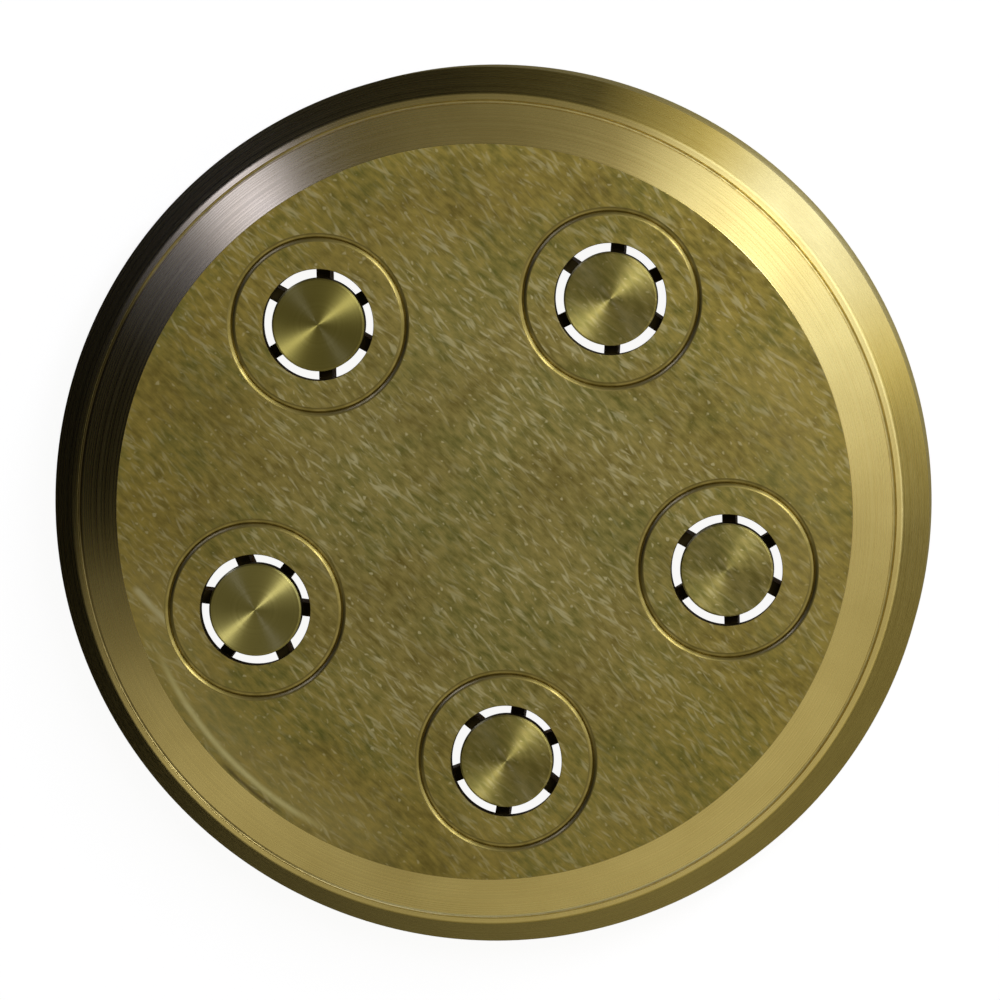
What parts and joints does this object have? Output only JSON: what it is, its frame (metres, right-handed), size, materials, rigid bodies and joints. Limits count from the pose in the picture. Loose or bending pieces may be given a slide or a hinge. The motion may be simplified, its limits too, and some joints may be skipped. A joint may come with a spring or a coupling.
{
  "type": "pasta extrusion die",
  "caption": "Round brass die that presses dough into smooth tubes through ring-shaped nozzles, each a bush with a winged mandrel inside.",
  "frame": {"origin": "centre of the flat back face, on the die's axis", "axes": "+Z along the die's axis from the back face to the outlet face, +X through the first insert"},
  "size_m": [0.078, 0.078, 0.016],
  "materials": {
    "body_brass": "sanded",
    "bush_brass": "sanded",
    "mandrel_brass": "turned"
  },
  "bodies": {
    "root": {"die_body": "body_brass", "insert_bush_1": "bush_brass", "insert_bush_2": "bush_brass", "insert_bush_3": "bush_brass", "insert_bush_4": "bush_brass", "insert_bush_5": "bush_brass", "mandrel_1": "mandrel_brass", "mandrel_2": "mandrel_brass", "mandrel_3": "mandrel_brass", "mandrel_4": "mandrel_brass", "mandrel_5": "mandrel_brass"}
  },
  "joints": []
}
